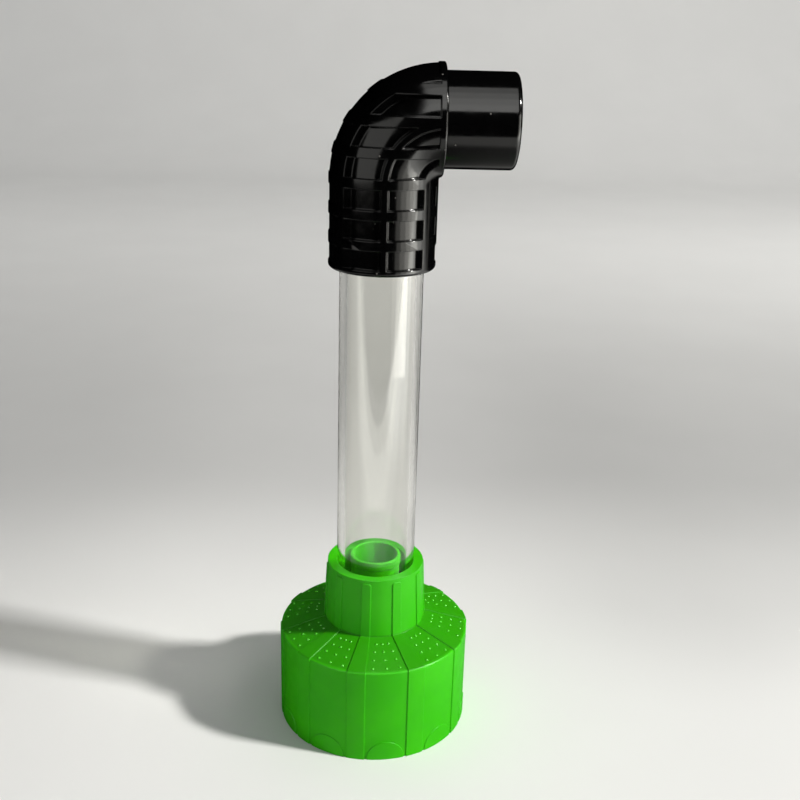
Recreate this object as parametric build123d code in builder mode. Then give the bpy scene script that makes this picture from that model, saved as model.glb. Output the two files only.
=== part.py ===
"""Gravel vacuum siphon: bell with a non-return riser, clear sight tube, swivel elbow and hose spigot.

Millimetres, +Z up. The origin is where the axis of the bell meets the surface that it stands on,
and +X is the way the hose leaves.
"""
from build123d import *
from math import cos, radians, sin, sqrt
import os

# ---- fits -------------------------------------------------------------------
slide_fit = 0.08          # radial clearance of a push or swivel fit
press_gap = 0.04          # radial clearance of a piece that stays put once pushed home
face_gap = 0.15           # between end faces that meet
edge_break = 0.4          # small chamfer on plain ends

# ---- sight tube -------------------------------------------------------------
tube_od = 32.0
tube_wall = 3.0
tube_clear_length = 124.45      # between the collar's rim and the elbow's foot
tube_r = tube_od / 2
tube_bore_r = tube_r - tube_wall

# ---- bell -------------------------------------------------------------------
bell_od = 78.8
bell_wall = 2.2
bell_side_height = 40.75
shoulder_rise = 5.1
shoulder_wall = 2.42            # measured upright, at the collar's foot
collar_height = 25.15
collar_wall = 3.75              # at the rim
collar_taper = 1.2              # how much wider the collar's foot is than its rim
shoulder_round = 0.9
collar_root_round = 0.5
ledge_rise = 0.9                # of the riser's ledge above the collar's foot
rim_round = 1.5
mouth_round = 0.7
bell_seal_depth = 11.0          # from the collar's rim to its O-ring
rib_count = 10
rib_arc = 10.9                  # degrees
rib_raise = 0.4
rib_root = 0.7                  # how deep a rib's or an arch's root lies in the wall
rib_phase = 6.85                # degrees from +X to the middle of a rib
rib_below_rim = 1.4
rib_corner_round = 1.0
rib_edge_round = 0.2
arch_radius = 7.5
arch_top = 8.2
arch_raise = 0.3
bell_r = bell_od / 2
collar_bore_r = tube_r + slide_fit
collar_rim_r = collar_bore_r + collar_wall
collar_foot_r = collar_rim_r + collar_taper
collar_foot_z = bell_side_height + shoulder_rise
collar_rim_z = collar_foot_z + collar_height
ledge_z = collar_foot_z + ledge_rise

# ---- riser and its valve ----------------------------------------------------
riser_annulus = 2.5             # open ring between the riser's lip and the tube's bore
riser_lip_raise = 0.4
riser_wall = 1.1
riser_hole_gap = 2.4            # between the riser and the hole in the bell's ledge
riser_lip_height = 3.5
riser_lip_round = 0.45
riser_stand = 3.3               # how far the riser's lip stands above the collar's rim
riser_drop = 22.5               # how far the riser hangs below the flange
riser_foot_height = 5.0         # narrowed end that carries the valve seat
riser_foot_wall = 2.2
flange_thickness = 2.0
seat_height = 3.6
seat_margin = 0.9               # of the cone on either side of the ball's line of contact
ball_clearance = 2.0            # between the ball and the riser's bore
ball_gap = 0.15
ball_travel = 8.0
stop_height = 3.0
stop_rim = 1.2
stop_bar = 1.8
strainer_wall = 1.6
strainer_depth = 7.0            # below the riser's foot
strainer_grip = 5.0             # over the riser's foot
grille_thickness = 1.8
grille_slot = 2.2
grille_bar = 1.6
riser_r = tube_bore_r - riser_annulus - riser_lip_raise
riser_bore_r = riser_r - riser_wall
riser_foot_bore_r = riser_r - riser_foot_wall
ball_r = riser_bore_r - ball_clearance
riser_top_z = collar_rim_z + riser_stand
riser_foot_z = ledge_z - riser_drop
tube_foot_z = ledge_z + flange_thickness + face_gap

# ---- elbow ------------------------------------------------------------------
elbow_wall = 4.27               # around the tube's socket
elbow_straight = 33.15          # from the elbow's foot to the start of its bend
elbow_foot_round = 1.3
bend_inside = 0.65              # radius left at the inside of the bend
outlet_lip = 0.35               # straight length after the bend
tube_socket = 19.0
rib_band = 3.7                  # height of a raised hoop
pocket_height = 7.2             # between two hoops
inner_pockets = 3               # on the hose's side, below the bend
foot_band = 2.25                # plain rim at the elbow's foot
outlet_band = 2.35              # plain rim at its outlet
pocket_depth = 1.7              # in front and behind
side_pocket_depth = 0.4         # at the sides, where the mould parts
keel_half = 3.3                 # degrees, half of the rib on the mould's pull
rib_from = 45.5                 # degrees, near edge of the other ribs
rib_to = 56.5                   # degrees, far edge of the other ribs
keel_draft = 1.5                # degrees that a pocket's wall leans in
rib_draft = 6.5
elbow_r = tube_r + slide_fit + elbow_wall
elbow_foot_z = collar_rim_z + tube_clear_length
bend_radius = elbow_r + bend_inside
bend_z = elbow_foot_z + elbow_straight
outlet_z = bend_z + bend_radius
outlet_x = bend_radius + outlet_lip
tube_top_z = elbow_foot_z + tube_socket

# ---- hose spigot ------------------------------------------------------------
outlet_wall = 5.15              # of the elbow around the tail that turns inside it
spigot_shoulder = 2.2           # how much the spigot is wider than its tail
spigot_length = 26.2            # what the hose goes over
spigot_round = 1.7
tail_length = 10.0
snap_raise = 0.5                # bead that clicks behind the socket's groove
snap_width = 1.6
snap_from_end = 1.4
tail_wall = 3.2
spigot_seal_depth = 3.2         # from the elbow's outlet to the O-ring
tail_r = elbow_r - outlet_wall
spigot_r = tail_r + spigot_shoulder
tail_end_x = outlet_x - tail_length
spigot_end_x = outlet_x + face_gap + spigot_length
outlet_axis = Axis((0, 0, outlet_z), (1, 0, 0))

# ---- O-rings ----------------------------------------------------------------
ring_d = 1.8
groove_width = 2.3
groove_gap = 0.05


def outer_corners(lift):
    """Corners of the bell's outside in (radius, height), moved out by `lift` at right angles."""
    slope = shoulder_rise / (bell_r - collar_foot_r)
    taper = collar_taper / collar_height
    cone_lift = lift * sqrt(1 + slope**2)
    collar_lift = lift * sqrt(1 + taper**2)
    edge = (bell_r + lift, bell_side_height + cone_lift - slope * lift)
    above = (cone_lift - slope * collar_lift) / (1 - slope * taper)
    root = (collar_foot_r + collar_lift - taper * above, collar_foot_z + above)
    rim = (collar_rim_r + collar_lift, collar_rim_z)
    return [(bell_r + lift, 0), edge, root, rim]


def polar(radius, angle):
    """Point on a circle, with the angle in degrees."""
    return (radius * cos(radians(angle)), radius * sin(radians(angle)))


def o_ring(plane, inner_r):
    """O-ring that hugs a cylinder of this radius, its middle in the plane."""
    with BuildPart() as ring:
        with BuildSketch(Plane(plane.origin, x_dir=plane.x_dir, z_dir=plane.y_dir)):
            with Locations((inner_r + ring_d / 2, 0)):
                Circle(ring_d / 2)
        revolve(axis=Axis(plane.origin, plane.z_dir))
    return ring.part


def snap_profile(gap, start_x, end_x):
    """Half section of the spigot's tail with its bead, in (x, height), grown by `gap`."""
    bead_from = tail_end_x + snap_from_end - gap
    bead_to = bead_from + snap_width + 2 * gap
    radius = tail_r + gap
    top = radius + snap_raise
    return [
        (start_x, outlet_z), (start_x, outlet_z + radius),
        (bead_from, outlet_z + radius), (bead_from + snap_raise, outlet_z + top),
        (bead_to - snap_raise, outlet_z + top), (bead_to, outlet_z + radius),
        (end_x, outlet_z + radius), (end_x, outlet_z),
    ]


def save(part, name):
    part.label = name
    export_step(part, f"parts/{name}.step")


os.makedirs("parts", exist_ok=True)

# ---- bell -------------------------------------------------------------------
# One moulding: side wall, sloping shoulder and collar, with the ledge that carries the riser.
bell_seal_z = collar_rim_z - bell_seal_depth
groove_r = tube_r + ring_d + 2 * groove_gap
inner_r = bell_r - bell_wall
hole_r = riser_r + riser_hole_gap
under_slope = shoulder_rise / (bell_r - collar_foot_r)
under_z = collar_foot_z - shoulder_wall
wall_base, wall_edge, collar_root, collar_rim = outer_corners(0)

with BuildPart() as rib:
    with BuildSketch(Plane.XZ) as rib_section:
        with BuildLine():
            Polyline(*outer_corners(rib_raise), *reversed(outer_corners(-rib_root)), close=True)
        make_face()
        with Locations((0, collar_rim_z - rib_below_rim)):
            Rectangle(bell_od, collar_height, align=(Align.CENTER, Align.MIN), mode=Mode.SUBTRACT)
        shoulder_edge = rib_section.vertices().sort_by(Axis.X)[-2:].sort_by(Axis.Y)[-1]
        fillet(shoulder_edge, radius=shoulder_round)
    revolve(axis=Axis.Z, revolution_arc=rib_arc)
    fillet(rib.edges().group_by(Axis.Z)[-1].filter_by(GeomType.LINE), radius=rib_corner_round)
    side_faces = rib.faces().filter_by(GeomType.PLANE).filter_by(lambda face: abs(face.normal_at().Z) < 0.1)
    fillet(side_faces.edges(), radius=rib_edge_round)

with BuildPart() as arch:
    with BuildSketch():
        Circle(bell_r + arch_raise)
        Circle(bell_r - rib_root, mode=Mode.SUBTRACT)
    extrude(amount=arch_top)
    with BuildSketch(Plane.YZ):
        with Locations((0, arch_top - arch_radius)):
            Circle(arch_radius)
    extrude(amount=bell_od, mode=Mode.INTERSECT)

with BuildPart() as bell:
    with BuildSketch(Plane.XZ) as bell_section:
        with BuildLine():
            Polyline(
                wall_base, wall_edge, collar_root, collar_rim,
                (collar_bore_r, collar_rim_z), (collar_bore_r, ledge_z),
                (hole_r, ledge_z), (hole_r, under_z), (collar_foot_r, under_z),
                (inner_r, under_z - under_slope * (inner_r - collar_foot_r)), (inner_r, 0),
                close=True,
            )
        make_face()
        corners = bell_section.vertices()
        fillet(corners.sort_by_distance((*wall_edge, 0))[0], radius=shoulder_round)
        fillet(corners.sort_by_distance((*collar_root, 0))[0], radius=collar_root_round)
        fillet(corners.sort_by_distance((*collar_rim, 0))[0], radius=rim_round)
        fillet(corners.sort_by_distance((collar_bore_r, collar_rim_z, 0))[0], radius=mouth_round)
    revolve(axis=Axis.Z)
    with PolarLocations(0, rib_count, start_angle=rib_phase - rib_arc / 2):
        add(rib.part)
    with PolarLocations(0, rib_count, start_angle=rib_phase + 180 / rib_count):
        add(arch.part)
    with BuildSketch(Plane.XY.offset(bell_seal_z - groove_width / 2)):
        Circle(groove_r)
    extrude(amount=groove_width, mode=Mode.SUBTRACT)
save(bell.part, "bell")
save(o_ring(Plane.XY.offset(bell_seal_z), tube_r + groove_gap), "collar_seal")

# ---- riser ------------------------------------------------------------------
# Inner pipe that the gravel water climbs. Its flange drops onto the bell's ledge.
riser_ledge_z = riser_foot_z + riser_foot_height
flange_r = collar_bore_r - press_gap
with BuildPart() as riser:
    with BuildSketch(Plane.XZ) as riser_section:
        with BuildLine():
            Polyline(
                (riser_foot_bore_r, riser_foot_z), (riser_r, riser_foot_z),
                (riser_r, ledge_z), (flange_r, ledge_z),
                (flange_r, ledge_z + flange_thickness), (riser_r, ledge_z + flange_thickness),
                (riser_r, riser_top_z - riser_lip_height),
                (riser_r + riser_lip_raise, riser_top_z - riser_lip_height + riser_lip_raise),
                (riser_r + riser_lip_raise, riser_top_z), (riser_bore_r, riser_top_z),
                (riser_bore_r, riser_ledge_z), (riser_foot_bore_r, riser_ledge_z),
                close=True,
            )
        make_face()
        fillet(riser_section.vertices().group_by(Axis.Y)[-1], radius=riser_lip_round)
    revolve(axis=Axis.Z)
save(riser.part, "riser")

# ---- valve seat, ball and stop ----------------------------------------------
# The ball rests on a 45 degree cone and stops the pipe from draining between strokes.
contact_r = ball_r / sqrt(2)
seat_bore_r = contact_r - seat_margin
seat_mouth_r = contact_r + seat_margin
seat_r = riser_bore_r - press_gap
seat_top_z = riser_ledge_z + face_gap + seat_height
ball_z = seat_top_z - seat_mouth_r + sqrt(2) * (ball_r + ball_gap)
with BuildPart() as valve_seat:
    with BuildSketch(Plane.XZ):
        with BuildLine():
            Polyline(
                (seat_bore_r, riser_ledge_z + face_gap), (seat_r, riser_ledge_z + face_gap),
                (seat_r, seat_top_z), (seat_mouth_r, seat_top_z),
                (seat_bore_r, seat_top_z - (seat_mouth_r - seat_bore_r)),
                close=True,
            )
        make_face()
    revolve(axis=Axis.Z)
save(valve_seat.part, "valve_seat")

with BuildPart(Plane.XY.offset(ball_z)) as valve_ball:
    Sphere(ball_r)
save(valve_ball.part, "valve_ball")

stop_z = ball_z + ball_r + ball_travel + 2 * ball_gap
with BuildPart() as ball_stop:
    with BuildSketch(Plane.XY.offset(stop_z)):
        Circle(seat_r)
        Circle(seat_r - stop_rim, mode=Mode.SUBTRACT)
        with PolarLocations(0, 2, angular_range=180):
            Rectangle(2 * seat_r - stop_rim, stop_bar)
    extrude(amount=stop_height)
save(ball_stop.part, "ball_stop")

# ---- intake strainer --------------------------------------------------------
# Cup that clips over the riser's foot, with slots that keep gravel and fish out.
strainer_bore_r = riser_r + press_gap
strainer_r = strainer_bore_r + strainer_wall
strainer_foot_z = riser_foot_z - strainer_depth
slot_pitch = grille_slot + grille_bar
slot_count = int((2 * riser_foot_bore_r + grille_bar) / slot_pitch)
with BuildPart() as strainer:
    with BuildSketch(Plane.XY.offset(strainer_foot_z)):
        Circle(strainer_r)
    extrude(amount=strainer_depth + strainer_grip)
    with BuildSketch(Plane.XY.offset(riser_foot_z - face_gap)):
        Circle(strainer_bore_r)
    extrude(amount=strainer_grip + 2 * face_gap, mode=Mode.SUBTRACT)
    with BuildSketch(Plane.XY.offset(strainer_foot_z + grille_thickness)):
        Circle(riser_foot_bore_r)
    extrude(amount=strainer_depth, mode=Mode.SUBTRACT)
    with BuildSketch(Plane.XY.offset(strainer_foot_z)):
        with GridLocations(slot_pitch, 1, slot_count, 1):
            Rectangle(grille_slot, 2 * riser_foot_bore_r)
        Circle(riser_foot_bore_r - edge_break, mode=Mode.INTERSECT)
    extrude(amount=grille_thickness, mode=Mode.SUBTRACT)
    chamfer(strainer.edges().group_by(Axis.Z)[0].sort_by(SortBy.LENGTH)[-1], length=edge_break)
save(strainer.part, "intake_strainer")

# ---- sight tube -------------------------------------------------------------
with BuildPart() as sight_tube:
    with BuildSketch(Plane.XY.offset(tube_foot_z)):
        Circle(tube_r)
        Circle(tube_bore_r, mode=Mode.SUBTRACT)
    extrude(amount=tube_top_z - face_gap - tube_foot_z)
    chamfer(sight_tube.edges().filter_by(GeomType.CIRCLE), length=edge_break)
save(sight_tube.part, "sight_tube")

# ---- elbow ------------------------------------------------------------------
# Thick bend, cored by pockets so that raised hoops and keels are left on its outside.
bend_axis = Axis((bend_radius, 0, bend_z), (0, 1, 0))
elbow_seal_z = elbow_foot_z + foot_band + pocket_height + rib_band / 2
hoop_pitch = rib_band + pocket_height
hoop_count = int((outlet_z + elbow_r - elbow_foot_z) / hoop_pitch)
first_hoop_z = elbow_foot_z + foot_band + pocket_height


def pocket_outline(plane, near, far, near_draft, far_draft, depth):
    """Section of one pocket between two angles from -Y towards +X, its walls leaning in."""
    reach = depth / 2
    outer, floor = elbow_r + reach, elbow_r - depth
    spread = reach / depth
    out_near, out_far = near - spread * near_draft, far + spread * far_draft
    in_near, in_far = near + near_draft, far - far_draft
    with BuildSketch(plane) as outline:
        with BuildLine():
            outer_arc = ThreePointArc(*(polar(outer, angle - 90)
                                        for angle in (out_near, (near + far) / 2, out_far)))
            floor_arc = ThreePointArc(*(polar(floor, angle - 90)
                                        for angle in (in_near, (near + far) / 2, in_far)))
            Line(outer_arc @ 0, floor_arc @ 0)
            Line(outer_arc @ 1, floor_arc @ 1)
        make_face()
    return outline.sketch


front_right = (keel_half, rib_from, keel_draft, rib_draft, pocket_depth)
front_left = (-rib_from, -keel_half, rib_draft, keel_draft, pocket_depth)
outer_side = (-180 + rib_to, -rib_to, 0, 0, side_pocket_depth)
inner_side = (rib_to, 180 - rib_to, 0, 0, side_pocket_depth)

with BuildPart() as pockets:
    for shape in (front_right, front_left, outer_side):
        add(pocket_outline(Plane.XY.offset(elbow_foot_z), *shape))
        extrude(amount=bend_z - elbow_foot_z)
        add(pocket_outline(Plane.XY.offset(bend_z), *shape))
        revolve(axis=bend_axis, revolution_arc=90)
    mirror(about=Plane.XZ)
    add(pocket_outline(Plane.XY.offset(elbow_foot_z), *inner_side))
    extrude(amount=foot_band + inner_pockets * hoop_pitch - rib_band)
    with BuildSketch(Plane.XY.offset(elbow_foot_z)):
        Rectangle(6 * elbow_r, 6 * elbow_r)
    extrude(amount=foot_band, mode=Mode.SUBTRACT)
    for hoop in range(hoop_count):
        with BuildSketch(Plane.XY.offset(first_hoop_z + hoop * hoop_pitch)):
            Rectangle(6 * elbow_r, 6 * elbow_r)
        extrude(amount=rib_band, mode=Mode.SUBTRACT)
    with BuildSketch(Plane.YZ.offset(outlet_x - outlet_band)):
        with Locations((0, outlet_z)):
            Rectangle(4 * elbow_r, 4 * elbow_r)
    extrude(amount=2 * elbow_r, mode=Mode.SUBTRACT)

with BuildPart() as elbow:
    with BuildSketch(Plane.XY.offset(elbow_foot_z)):
        Circle(elbow_r)
    extrude(amount=bend_z - elbow_foot_z)
    with BuildSketch(Plane.XY.offset(bend_z)):
        Circle(elbow_r)
    revolve(axis=bend_axis, revolution_arc=90)
    with BuildSketch(Plane.YZ.offset(bend_radius)):
        with Locations((0, outlet_z)):
            Circle(elbow_r)
    extrude(amount=outlet_lip)
    fillet(elbow.edges().group_by(Axis.Z)[0], radius=elbow_foot_round)
    chamfer(elbow.edges().group_by(Axis.X)[-1], length=edge_break)
    add(pockets.part, mode=Mode.SUBTRACT)
    with BuildSketch(Plane.XY.offset(elbow_foot_z)):
        Circle(collar_bore_r)
    extrude(amount=tube_socket, mode=Mode.SUBTRACT)
    with BuildSketch(Plane.XY.offset(elbow_seal_z - groove_width / 2)):
        Circle(groove_r)
    extrude(amount=groove_width, mode=Mode.SUBTRACT)
    with BuildSketch(Plane.XY.offset(tube_top_z)):
        Circle(tube_bore_r)
    extrude(amount=bend_z - tube_top_z, mode=Mode.SUBTRACT)
    with BuildSketch(Plane.XY.offset(bend_z)):
        Circle(tube_bore_r)
    revolve(axis=bend_axis, revolution_arc=90, mode=Mode.SUBTRACT)
    with BuildSketch(Plane.XZ):
        with BuildLine():
            Polyline(*snap_profile(slide_fit, tail_end_x - face_gap, outlet_x + face_gap), close=True)
        make_face()
    revolve(axis=outlet_axis, mode=Mode.SUBTRACT)
save(elbow.part, "elbow")
save(o_ring(Plane.XY.offset(elbow_seal_z), tube_r + groove_gap), "elbow_seal")

# ---- hose spigot ------------------------------------------------------------
# Smooth tail that the hose is pushed over. It clicks into the elbow and turns there.
spigot_seal_x = outlet_x - spigot_seal_depth
seal_floor_r = tail_r + slide_fit - ring_d - 2 * groove_gap
with BuildPart() as hose_spigot:
    with BuildSketch(Plane.XZ):
        with BuildLine():
            Polyline(*snap_profile(0, tail_end_x, outlet_x + face_gap), close=True)
        make_face()
    revolve(axis=outlet_axis)
    with BuildSketch(Plane.YZ.offset(outlet_x + face_gap)):
        with Locations((0, outlet_z)):
            Circle(spigot_r)
    extrude(amount=spigot_length)
    fillet(hose_spigot.edges().group_by(Axis.X)[-1], radius=spigot_round)
    with BuildSketch(Plane.YZ.offset(spigot_seal_x - groove_width / 2)):
        with Locations((0, outlet_z)):
            Circle(spigot_r)
            Circle(seal_floor_r, mode=Mode.SUBTRACT)
    extrude(amount=groove_width, mode=Mode.SUBTRACT)
    with BuildSketch(Plane.YZ.offset(tail_end_x)):
        with Locations((0, outlet_z)):
            Circle(tail_r - tail_wall)
    extrude(amount=spigot_end_x - tail_end_x, mode=Mode.SUBTRACT)
    chamfer(hose_spigot.edges().group_by(Axis.X)[-1].sort_by(SortBy.LENGTH)[0], length=edge_break)
save(hose_spigot.part, "hose_spigot")
seal_plane = Plane((spigot_seal_x, 0, outlet_z), x_dir=(0, 1, 0), z_dir=(1, 0, 0))
save(o_ring(seal_plane, seal_floor_r + groove_gap), "spigot_seal")
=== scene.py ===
"""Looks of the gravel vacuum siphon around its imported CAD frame. Metres, +Z up, hose along +X."""
import math

import bpy
import bmesh
from mathutils import Matrix, Vector


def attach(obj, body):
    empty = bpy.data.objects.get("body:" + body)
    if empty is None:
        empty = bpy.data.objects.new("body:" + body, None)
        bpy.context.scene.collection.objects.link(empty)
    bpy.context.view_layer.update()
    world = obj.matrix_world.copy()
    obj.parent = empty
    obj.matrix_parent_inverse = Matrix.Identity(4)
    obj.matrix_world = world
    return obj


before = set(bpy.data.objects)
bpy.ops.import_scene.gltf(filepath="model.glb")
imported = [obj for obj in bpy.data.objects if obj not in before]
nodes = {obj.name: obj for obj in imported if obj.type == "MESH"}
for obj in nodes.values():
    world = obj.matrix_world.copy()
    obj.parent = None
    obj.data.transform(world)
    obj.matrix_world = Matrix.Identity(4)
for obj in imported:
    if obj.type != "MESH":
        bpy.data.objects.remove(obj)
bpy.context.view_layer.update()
scene = bpy.context.scene

# ---- Table and backdrop -----------------------------------------------------
# A sheet of matte off-white paper lies on the table and curves up behind the siphon. Its colour
# is painted shade where the light falls off: bright at the front, greyer behind and to the sides.
PAPER_NEAR = 2.4
PAPER_FAR = 1.5
PAPER_HALF_WIDTH = 3.5
PAPER_CURVE = 0.7
PAPER_RISE = 2.2
PAPER_BRIGHT = (0.87, 0.87, 0.855, 1)
PAPER_DULL = (0.40, 0.40, 0.395, 1)


class Signal:
    """A shader socket that arithmetic can be done on; each sum or product adds its own node."""

    def __init__(self, shader, socket):
        self.shader = shader
        self.socket = socket

    def math(self, operation, *others):
        return self.shader.node("ShaderNodeMath", {"operation": operation}, {
            index: value for index, value in enumerate((self, *others))
        })

    def __add__(self, other):
        return self.math("ADD", other)

    def __mul__(self, other):
        return self.math("MULTIPLY", other)

    def __sub__(self, other):
        return self.math("SUBTRACT", other)

    def __rsub__(self, other):
        return self.shader.node("ShaderNodeMath", {"operation": "SUBTRACT"}, {0: other, 1: self})

    __radd__ = __add__
    __rmul__ = __mul__

    def ramp(self, low, high, start=0.0, end=1.0):
        """Smooth step of this value from `low` to `high`, mapped onto `start` to `end`."""
        return self.shader.node(
            "ShaderNodeMapRange", {"interpolation_type": "SMOOTHSTEP"},
            {"Value": self, "From Min": low, "From Max": high, "To Min": start, "To Max": end},
        )


class Shader:
    """One procedural material, with its Principled surface ready to take values and signals."""

    def __init__(self, name, **constants):
        self.material = bpy.data.materials.new(name)
        self.material.use_nodes = True
        self.tree = self.material.node_tree
        self.surface = self.tree.nodes["Principled BSDF"]
        self.set(**constants)

    def set(self, **values):
        for label, value in values.items():
            self.plug(self.surface.inputs[label.replace("_", " ")], value)

    def plug(self, target, value):
        if isinstance(value, Signal):
            self.tree.links.new(value.socket, target)
        else:
            target.default_value = value

    def node(self, kind, settings=None, inputs=None, output=0):
        """Any shader node: its settings first, then the values or signals of its sockets."""
        made = self.tree.nodes.new(kind)
        for label, value in (settings or {}).items():
            setattr(made, label, value)
        for label, value in (inputs or {}).items():
            self.plug(made.inputs[label], value)
        return Signal(self, made.outputs[output])

    def place(self):
        return self.node("ShaderNodeTexCoord", output=3)

    def axis(self, name):
        """One coordinate of the place, in metres."""
        return self.node("ShaderNodeSeparateXYZ", inputs={0: self.place()}, output="XYZ".index(name))

    def noise(self, scale, detail=2.0):
        inputs = {"Vector": self.place(), "Scale": scale, "Detail": detail}
        return self.node("ShaderNodeTexNoise", inputs=inputs)

    def blend(self, mask, first, second):
        """Colour that goes from `first` to `second` as the mask goes from 0 to 1."""
        sockets = {0: mask, 6: first, 7: second}
        return self.node("ShaderNodeMix", {"data_type": "RGBA"}, sockets, output=2)

    def bump(self, height, distance, strength, edge_round=0.0):
        """Relief from a height signal, over edges that look rounded by `edge_round` metres."""
        inputs = {"Height": height, "Distance": distance, "Strength": strength}
        if edge_round:
            inputs["Normal"] = self.node("ShaderNodeBevel", {"samples": 6}, {"Radius": edge_round})
        self.set(Normal=self.node("ShaderNodeBump", inputs=inputs))


def mesh_object(name, shape):
    """Object at the origin from a bmesh whose points are already in place."""
    data = bpy.data.meshes.new(name)
    shape.to_mesh(data)
    shape.free()
    for face in data.polygons:
        face.use_smooth = True
    made = bpy.data.objects.new(name, data)
    scene.collection.objects.link(made)
    return made


def finish(names, shader):
    """Gives the CAD nodes of these names one material."""
    for name in names:
        nodes[name].data.materials.clear()
        nodes[name].data.materials.append(shader.material)


def level_edge(shape, y, z):
    """Edges of the sheet that run along X at this place."""
    return [edge for edge in shape.edges
            if all(abs(end.co.y - y) + abs(end.co.z - z) < 1e-4 for end in edge.verts)]


def pull(shape, edges, by):
    """Extrudes the sheet from these edges."""
    grown = bmesh.ops.extrude_edge_only(shape, edges=edges)["geom"]
    bmesh.ops.translate(shape, verts=[g for g in grown if isinstance(g, bmesh.types.BMVert)], vec=by)


paper = bmesh.new()
ends = [paper.verts.new((side * PAPER_HALF_WIDTH, -PAPER_NEAR, 0)) for side in (-1, 1)]
pull(paper, [paper.edges.new(ends)], (0, PAPER_NEAR + PAPER_FAR, 0))
bmesh.ops.spin(
    paper, geom=level_edge(paper, PAPER_FAR, 0), cent=(0, PAPER_FAR, PAPER_CURVE), axis=(1, 0, 0),
    angle=math.pi / 2, steps=24,
)
pull(paper, level_edge(paper, PAPER_FAR + PAPER_CURVE, PAPER_CURVE), (0, 0, PAPER_RISE))
bmesh.ops.recalc_face_normals(paper, faces=paper.faces)
backdrop = mesh_object("backdrop", paper)
paper_look = Shader("backdrop_paper", Roughness=0.8, Specular_IOR_Level=0.2)
depth, across = paper_look.axis("Y"), paper_look.axis("X")
# Painted shade: the paper is duller to the right, far to the left and behind, where less light falls.
right_side = across.ramp(-0.02, 0.19)
beside = (right_side + across.ramp(-0.22, -0.08, 0.5, 0.0)) * (0.36 * depth.ramp(-0.02, 0.09) + 0.22)
behind = depth.ramp(0.06, 0.26) * (0.25 * right_side + 0.62)
grain = paper_look.noise(9.0).ramp(0.3, 0.7, 0.0, 0.03)
tone = (1 - (1 - beside) * (1 - behind) * 0.88) * (1 - depth.ramp(0.2, 1.1)) + grain
paper_look.set(Base_Color=paper_look.blend(tone, PAPER_BRIGHT, PAPER_DULL))
backdrop.data.materials.append(paper_look.material)
backdrop.visible_glossy = False

# ---- Bell group -------------------------------------------------------------
# The bell stands on the gravel, the riser hangs from its ledge, and the strainer is clipped to
# the riser's foot. All three are moulded in green polypropylene, semi-gloss with a faint flow
# unevenness. The riser is a tone deeper, and the shoulder carries painted shade,
# some of it up the collar.
GREEN = (0.043, 0.53, 0.0012, 1)
GREEN_DEEP = (0.035, 0.48, 0.001, 1)
# Painted shade on the bell's shoulder, fading to a share of it on the collar.
GREEN_PAINTED_SHADE = (0.027, 0.32, 0.001, 1)
GREEN_RISER = (0.034, 0.42, 0.0012, 1)
GREEN_EDGE = 0.0003
CROWN_FOOT = (0.0407, 0.0412)
CROWN_TOP = (0.0457, 0.0470)
COLLAR_SHADE_SHARE = 0.15


def moulded_green(name, light, polish, gloss, deep=None, edge_round=0.0, painted_shade=None):
    """Green plastic in one tone or two, rough by about `polish`, with painted shade on the shoulder if
    given.
    """
    made = Shader(name, IOR=1.49, Specular_IOR_Level=gloss, Subsurface_Weight=0.06,
                  Subsurface_Radius=(0.3, 1.0, 0.2), Subsurface_Scale=0.0012)
    colour = made.blend(made.noise(45, 3).ramp(0.35, 0.65), light, deep) if deep else light
    # Painted shade: darker from the shoulder's foot up, with a share of it left on the collar.
    if painted_shade:
        height = made.axis("Z")
        over = height.ramp(*CROWN_FOOT) * height.ramp(*CROWN_TOP, 1.0, COLLAR_SHADE_SHARE)
        colour = made.blend(over, colour, painted_shade)
    made.set(Base_Color=colour,
             Roughness=made.noise(260, 3).ramp(0.3, 0.7, polish - 0.05, polish + 0.05))
    made.bump(made.noise(900, 2), 0.00004, 0.25, edge_round)
    return made


finish(("bell", "intake_strainer"), moulded_green(
    "moulded_green_plastic", GREEN, 0.34, 0.26, GREEN_DEEP, GREEN_EDGE, GREEN_PAINTED_SHADE
))
finish(("riser",), moulded_green(
    "deeper_green_plastic", GREEN_RISER, 0.36, 0.15, edge_round=GREEN_EDGE
))

# ---- Grip pips --------------------------------------------------------------
# Each panel of the shoulder has four rows of three low domes, moulded with the bell for grip.
# A row's domes lie on one circle and spread out with the panel.
PIP_ROWS = ((0.0247, 0.0025), (0.0286, 0.0036), (0.0327, 0.0045), (0.0369, 0.00545))
PIP_RADIUS = 0.00062
PIP_HEIGHT = 0.00036
PIP_SINK = 0.00012
# The pips' lighter green is a painted highlight on their tips.
PIP_HIGHLIT = (0.08, 0.60, 0.02, 1)
PIP_HIGHLIT_DEEP = (0.065, 0.53, 0.015, 1)
PANELS = 10
PANEL_BEARING = 24.85
SHOULDER_FOOT = Vector((0.0394, 0, 0.04075))
SHOULDER_TOP = Vector((0.0210, 0, 0.04585))

pips = bmesh.new()
along = (SHOULDER_TOP - SHOULDER_FOOT).normalized()
outward = Vector((along.z, 0, -along.x))
for panel in range(PANELS):
    for radius, spread in PIP_ROWS:
        for column in (-1, 0, 1):
            turn = math.radians(PANEL_BEARING + panel * 360 / PANELS)
            turn += column * math.asin(spread / radius)
            spin = Matrix.Rotation(turn, 4, "Z")
            share = (radius - SHOULDER_FOOT.x) / (SHOULDER_TOP.x - SHOULDER_FOOT.x)
            seat = SHOULDER_FOOT.lerp(SHOULDER_TOP, share) - PIP_SINK * outward
            tilt = outward.to_track_quat("Z", "Y").to_matrix().to_4x4()
            size = Matrix.Diagonal((PIP_RADIUS, PIP_RADIUS, PIP_HEIGHT + PIP_SINK, 1))
            bmesh.ops.create_uvsphere(
                pips, u_segments=10, v_segments=6, radius=1,
                matrix=spin @ Matrix.Translation(seat) @ tilt @ size,
            )
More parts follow.
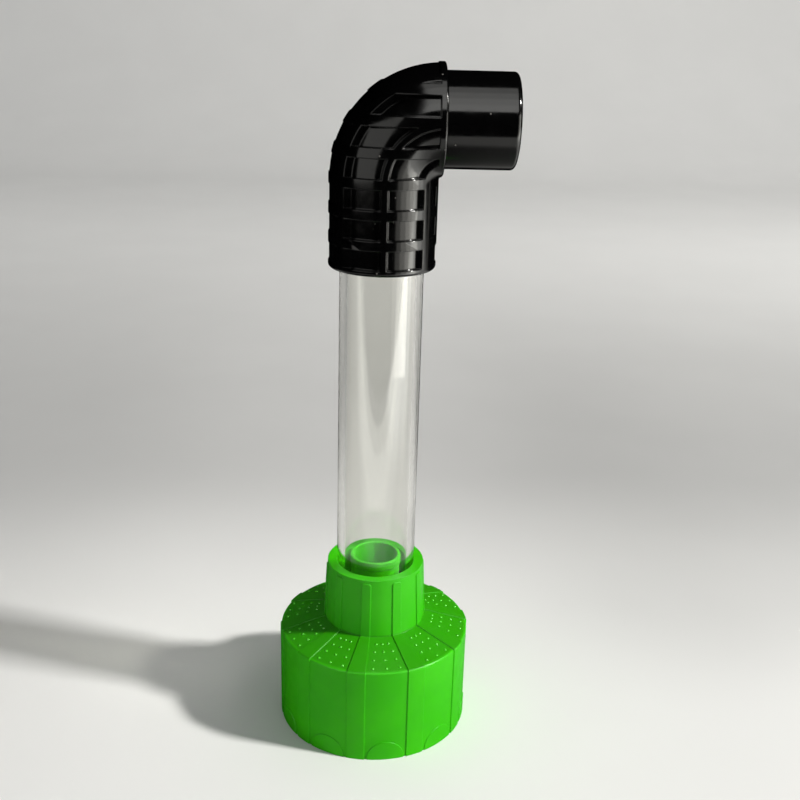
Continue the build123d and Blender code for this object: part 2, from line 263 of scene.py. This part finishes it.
bmesh.ops.recalc_face_normals(pips, faces=pips.faces)
grip_pips = mesh_object("grip_pips", pips)
grip_pips.data.materials.append(
    moulded_green("polished_green_pips_painted_highlight", PIP_HIGHLIT, 0.22, 0.7, PIP_HIGHLIT_DEEP).material
)
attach(grip_pips, "bell_group")

# ---- Valve ------------------------------------------------------------------
# Seat, ball and stop are turned and moulded in white acetal, smooth and slightly waxy. They
# stand loose or pressed in the riser, below its lip.
ACETAL = (0.74, 0.73, 0.68, 1)
ACETAL_DEEP = (0.68, 0.67, 0.62, 1)

acetal = Shader("white_acetal", IOR=1.48, Subsurface_Weight=0.1, Subsurface_Scale=0.002)
acetal.set(Base_Color=acetal.blend(acetal.noise(120).ramp(0.3, 0.7), ACETAL, ACETAL_DEEP),
           Roughness=acetal.noise(400).ramp(0.3, 0.7, 0.26, 0.34))
acetal.bump(acetal.noise(700, 2), 0.00003, 0.2)
finish(("valve_seat", "valve_ball", "ball_stop"), acetal)

# ---- O-rings ----------------------------------------------------------------
# Nitrile rubber rings, moulded, matte black with a dusty bloom. Each one is stretched into its
# groove and seals the tube in the collar, the tube in the elbow, or the spigot in the elbow.
RUBBER = (0.014, 0.014, 0.014, 1)
RUBBER_BLOOM = (0.04, 0.04, 0.038, 1)

rubber = Shader("nitrile_rubber", IOR=1.5)
rubber.set(Base_Color=rubber.blend(rubber.noise(300).ramp(0.4, 0.8), RUBBER, RUBBER_BLOOM),
           Roughness=rubber.noise(500).ramp(0.3, 0.7, 0.5, 0.7))
rubber.bump(rubber.noise(1500, 3), 0.00005, 0.3)
finish(("collar_seal", "elbow_seal", "spigot_seal"), rubber)

# ---- Sight tube -------------------------------------------------------------
# Extruded clear acrylic tube with sawn and polished ends, faintly warm through its wall. It is
# a push fit in both rings, and its shadow is a thin one, darker where the wall is seen edge on.
ACRYLIC = (0.945, 0.945, 0.917, 1)
THIN_SHADOW = (0.70, 0.70, 0.68, 1)
EDGE_SHADOW = (0.35, 0.35, 0.34, 1)

clear = Shader("clear_acrylic", Base_Color=ACRYLIC, Roughness=0.03, IOR=1.49,
               Specular_IOR_Level=0.22, Transmission_Weight=1.0)
clear.bump(clear.noise(60, 2), 0.00002, 0.1)
glancing = clear.node("ShaderNodeLayerWeight", inputs={"Blend": 0.5}, output=1)
shade = clear.node("ShaderNodeMixShader", inputs={
    0: glancing.ramp(0.3, 0.95),
    1: clear.node("ShaderNodeBsdfTransparent", inputs={"Color": THIN_SHADOW}),
    2: clear.node("ShaderNodeBsdfTransparent", inputs={"Color": EDGE_SHADOW}),
})
lit_through = clear.node("ShaderNodeMixShader", inputs={
    0: clear.node("ShaderNodeLightPath", output="Is Shadow Ray"),
    1: Signal(clear, clear.surface.outputs[0]),
    2: shade,
})
clear.plug(clear.tree.nodes["Material Output"].inputs["Surface"], lit_through)
finish(("sight_tube",), clear)

# ---- Elbow and spigot -------------------------------------------------------
# The elbow turns the flow aside and is a push fit on the tube, and the spigot that a hose goes on
# turns in its outlet. Both are gloss black ABS off a mirror mould, with a slight orange peel,
# fine dust, and edges just soft enough to catch a line of light.
BLACK = (0.0012, 0.0012, 0.0013, 1)
DUST = (0.16, 0.155, 0.14, 1)
BLACK_EDGE = 0.0006

black = Shader("gloss_black_plastic", IOR=1.52, Specular_IOR_Level=0.32)
speck = black.node("ShaderNodeTexVoronoi", inputs={"Vector": black.place(), "Scale": 260.0})
dusty = speck.ramp(0.06, 0.10, 1.0, 0.0) * black.noise(90, 1).ramp(0.60, 0.66)
black.set(Base_Color=black.blend(dusty, BLACK, DUST),
          Roughness=black.noise(220, 4).ramp(0.35, 0.75, 0.10, 0.16) + 0.4 * dusty)
black.bump(black.noise(150, 2), 0.00005, 0.12, BLACK_EDGE)
finish(("elbow", "hose_spigot"), black)

# ---- Light ------------------------------------------------------------------
# A small key from the right lights everything. A window on the right, in upright strips, soft
# boxes overhead and one on the left only show as reflections. Two flat sheets carry painted
# reflections of the bright table: one in the gloss, one in the far wall of the clear tube.
CENTRE = Vector((0, 0, 0.13))
KEY_TINT = (1, 0.985, 0.95)
WINDOW_STRIPS = ((34, 1.3), (45, 3.0), (57, 5.2), (68, 6.6))
WINDOW_RISE = 6.4
WINDOW_DISTANCE = 0.45
WINDOW_HEIGHT = 0.365
WINDOW_TINT = (1, 0.98, 0.9)
OVERHEAD_ROWS = ((37, 3.9), (51, 3.4), (65, 2.7), (79, 1.9))
OVERHEAD_TINT = (1, 0.995, 0.96)
FILL_TINT = (1, 0.99, 0.94)
SKY_TINT = (0.97, 0.98, 1.0, 1)
SKY_STRENGTH = 0.27
TABLE_GLOW = 2.2
TABLE_EDGE = (-0.308, -0.294)
REFLECTED_DARK = (0.002, 0.002, 0.002, 1)
TABLE_WHITE = (0.95, 0.95, 0.92, 1)
SILL_GLOW = (3.0, 3.0, 2.85, 1)
GLOW_TINT = (1, 1, 0.97, 1)
DARK = (0, 0, 0, 1)


def soft_box(name, bearing, rise, distance, size, radiance, tint, gloss_only=True):
    """Area lamp at a bearing from -Y towards +X and an angle above the table, in degrees."""
    lamp = bpy.data.lights.new(name, "AREA")
    lamp.shape = "RECTANGLE"
    lamp.size, lamp.size_y = size
    lamp.energy = radiance * math.pi * size[0] * size[1]
    lamp.color = tint
    made = bpy.data.objects.new(name, lamp)
    scene.collection.objects.link(made)
    turn, up = math.radians(bearing), math.radians(rise)
    made.location = CENTRE + distance * Vector((
        math.sin(turn) * math.cos(up), -math.cos(turn) * math.cos(up), math.sin(up)
    ))
    made.rotation_euler = (CENTRE - made.location).to_track_quat("-Z", "Y").to_euler()
    made.visible_camera = False
    made.visible_diffuse = made.visible_transmission = not gloss_only


def window_strip(name, bearing, width, radiance):
    """Upright strip of the window on the right."""
    soft_box(name, bearing, WINDOW_RISE, WINDOW_DISTANCE, (width, WINDOW_HEIGHT), radiance, WINDOW_TINT)


soft_box("key", 73.5, 37, 2.0, (0.165, 0.165), 600, KEY_TINT, gloss_only=False)
for strip, radiance in WINDOW_STRIPS:
    window_strip(f"window_{strip}", strip, 0.093, radiance)
window_strip("window_frame", 108, 0.034, 0.4)
for row, radiance in OVERHEAD_ROWS:
    soft_box(f"overhead_{row}", 6, row, 1.5, (0.6, 0.37), radiance, OVERHEAD_TINT)
soft_box("fill_left", -43, 14, 1.5, (1.2, 1.2), 1.4, FILL_TINT)


def flat_sheet(name, half_width, height):
    """Square sheet just above the table, hidden from the camera and casting nothing."""
    shape = bmesh.new()
    bmesh.ops.create_grid(shape, x_segments=1, y_segments=1, size=half_width)
    bmesh.ops.translate(shape, verts=shape.verts, vec=(0, 0, height))
    made = mesh_object(name, shape)
    made.visible_camera = made.visible_diffuse = made.visible_shadow = False
    return made


reflected_floor = flat_sheet("reflected_floor", 2.4, 0.0005)
reflected_floor.visible_transmission = False
# Its colour is a painted reflection: dark near the siphon, in front and on the left, white where the
# lit table would show, and glowing on the right where the window's foot would show.
floor_look = Shader("reflected_floor", Roughness=1.0, Specular_IOR_Level=0.0, Emission_Strength=1.0)
reach = floor_look.node(
    "ShaderNodeVectorMath", {"operation": "LENGTH"}, {0: floor_look.place()}, output=1
)
ahead_of, aside = floor_look.axis("Y"), floor_look.axis("X")
table = ahead_of.ramp(-0.425, -0.40) * ahead_of.ramp(0.1, 0.3, 1.0, 0.0)
table = table * aside.ramp(-0.5, -0.25) * reach.ramp(0.14, 0.24)
sill = aside.ramp(0.10, 0.22) * ahead_of.ramp(-0.44, -0.38) * ahead_of.ramp(-0.1, 0.0, 1.0, 0.0)
glow = table * aside.ramp(0.03, 0.3) * 0.14 + sill * reach.ramp(0.2, 0.46)
under = aside.ramp(0.0, 0.09) * reach.ramp(0.14, 0.2, 0.3, 0.0)
floor_look.set(
    Base_Color=floor_look.blend(table + under, REFLECTED_DARK, TABLE_WHITE),
    Emission_Color=floor_look.blend(glow, DARK, SILL_GLOW),
)
reflected_floor.data.materials.append(floor_look.material)

# A second painted reflection: it glows behind the table's front edge and only shows after a reflection,
# in the far wall of the clear tube.
table_glow = flat_sheet("table_glow", 1.6, 0.0008)
table_glow.visible_glossy = False
glow_look = Shader("table_glow", Base_Color=DARK, Roughness=1.0, Specular_IOR_Level=0.0,
                   Emission_Strength=TABLE_GLOW)
forward = glow_look.axis("Y")
times_reflected = glow_look.node("ShaderNodeLightPath", output="Glossy Depth")
glow_look.set(
    Emission_Color=glow_look.blend(forward.ramp(*TABLE_EDGE), DARK, GLOW_TINT),
    Alpha=times_reflected * forward.ramp(-0.17, -0.11, 1.0, 0.0),
)
table_glow.data.materials.append(glow_look.material)

world = bpy.data.worlds.new("studio")
world.use_nodes = True
sky = world.node_tree.nodes["Background"]
sky.inputs["Color"].default_value = SKY_TINT
sky.inputs["Strength"].default_value = SKY_STRENGTH
scene.world = world
world.cycles_visibility.glossy = False

# ---- Camera -----------------------------------------------------------------
# Looks down about 20 degrees from just left of the front, tilted a little, as a hand-held
# camera would. Its place is in metres, its angles in degrees and its lens in millimetres.
CAMERA_PLACE = (-0.01005, -0.3972, 0.2866)
CAMERA_BEARING = 2.66
CAMERA_PITCH = 20.06
CAMERA_ROLL = 1.64
LENS = 48.06
SENSOR = 36

view = bpy.data.cameras.new("camera")
view.lens = LENS
view.sensor_width = SENSOR
camera = bpy.data.objects.new("camera", view)
scene.collection.objects.link(camera)
bearing, pitch, roll = (math.radians(angle) for angle in (CAMERA_BEARING, CAMERA_PITCH, CAMERA_ROLL))
ahead = Vector((
    math.sin(bearing) * math.cos(pitch), math.cos(bearing) * math.cos(pitch), -math.sin(pitch)
))
level = ahead.cross(Vector((0, 0, 1))).normalized()
upward = level.cross(ahead)
right = level * math.cos(roll) + upward * math.sin(roll)
over = upward * math.cos(roll) - level * math.sin(roll)
turned = Matrix((right, over, -ahead)).transposed().to_4x4()
camera.matrix_world = Matrix.Translation(CAMERA_PLACE) @ turned
scene.camera = camera
scene.view_settings.view_transform = "Standard"
